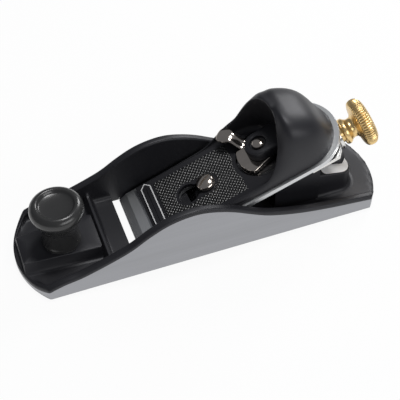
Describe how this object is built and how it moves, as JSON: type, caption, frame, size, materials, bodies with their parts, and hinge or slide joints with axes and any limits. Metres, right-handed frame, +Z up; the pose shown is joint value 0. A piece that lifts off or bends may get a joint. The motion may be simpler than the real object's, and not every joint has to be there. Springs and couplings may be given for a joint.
{
  "type": "block plane",
  "caption": "Block plane: cast body with a fixed mouth, front knob, low-set blade, lever cap with cam lock and palm rest, and a brass depth knob.",
  "frame": {"origin": "on the sole, under the middle of the body", "axes": "+X from toe to heel, +Y to the plane's left side seen from the heel, +Z up, sole at Z = 0"},
  "size_m": [0.1788, 0.0517, 0.0589],
  "materials": {
    "body_enamel": "glossy black enamel on cast iron, sides and sole ground bright",
    "cap_enamel": "glossy black enamel",
    "knob_plastic": "satin black moulding",
    "blade_steel": "ground",
    "steel": "turned",
    "nickel": "bright plated",
    "brass": "turned, knurled rim",
    "label": "blank white-edged plate"
  },
  "bodies": {
    "casting": {"body": "body_enamel", "front_knob": "knob_plastic", "front_knob_stud": "steel"},
    "adjuster": {"adjuster_post": "steel", "lateral_lever": "steel", "thrust_washer": "steel"},
    "depth_screw": {"depth_knob": "brass", "adjuster_stud": "steel", "stud_collar": "steel"},
    "carrier": {"blade_carrier": "steel"},
    "blade": {"cutter": "blade_steel"},
    "cap_screw": {"lever_cap_screw": "nickel"},
    "cap": {"lever_cap": "cap_enamel", "lever_cap_label": "label", "cam_lever_rivet": "nickel"},
    "cam": {"cam_lever": "nickel"},
    "presser": {"pressure_plate": "steel"}
  },
  "joints": [
    {"name": "lateral_swing", "type": "hinge", "parent": "casting", "child": "adjuster", "pos_m": [0.06393, 0, 0.02595], "axis": [-0.3584, 0, 0.9336], "range_deg": [-1.5, 1.5]},
    {"name": "depth_turn", "type": "hinge", "parent": "adjuster", "child": "depth_screw", "pos_m": [0.06393, 0, 0.02595], "axis": [0.9336, 0, 0.3584], "range_deg": [-576, 864]},
    {"name": "depth_travel", "type": "slide", "parent": "adjuster", "child": "carrier", "axis": [0.9336, 0, 0.3584], "range_m": [-0.0016, 0.0024]},
    {"name": "blade_tilt", "type": "hinge", "parent": "carrier", "child": "blade", "pos_m": [0.03823, 0, 0.02873], "axis": [-0.3584, 0, 0.9336], "range_deg": [-2.6, 2.6]},
    {"name": "cap_screw_turn", "type": "hinge", "parent": "casting", "child": "cap_screw", "pos_m": [0.00572, 0, 0.01518], "axis": [-0.3584, 0, 0.9336], "range_deg": [-180, 180]},
    {"name": "cap_slide", "type": "slide", "parent": "casting", "child": "cap", "axis": [0.9336, 0, 0.3584], "range_m": [0, 0.0094]},
    {"name": "cam_release", "type": "hinge", "parent": "cap", "child": "cam", "pos_m": [0.03153, 0, 0.03194], "axis": [-0.3584, 0, 0.9336], "range_deg": [0, 48]},
    {"name": "presser_lift", "type": "slide", "parent": "cap", "child": "presser", "axis": [-0.3584, 0, 0.9336], "range_m": [0, 0.0003]}
  ],
  "couplings": [
    {"joint": "depth_turn", "follows": "depth_travel", "rad_per_m": 6283.2},
    {"joint": "blade_tilt", "follows": "lateral_swing", "ratio": -1.6534},
    {"joint": "presser_lift", "follows": "cam_release", "m_per_rad": 0.00034616}
  ]
}
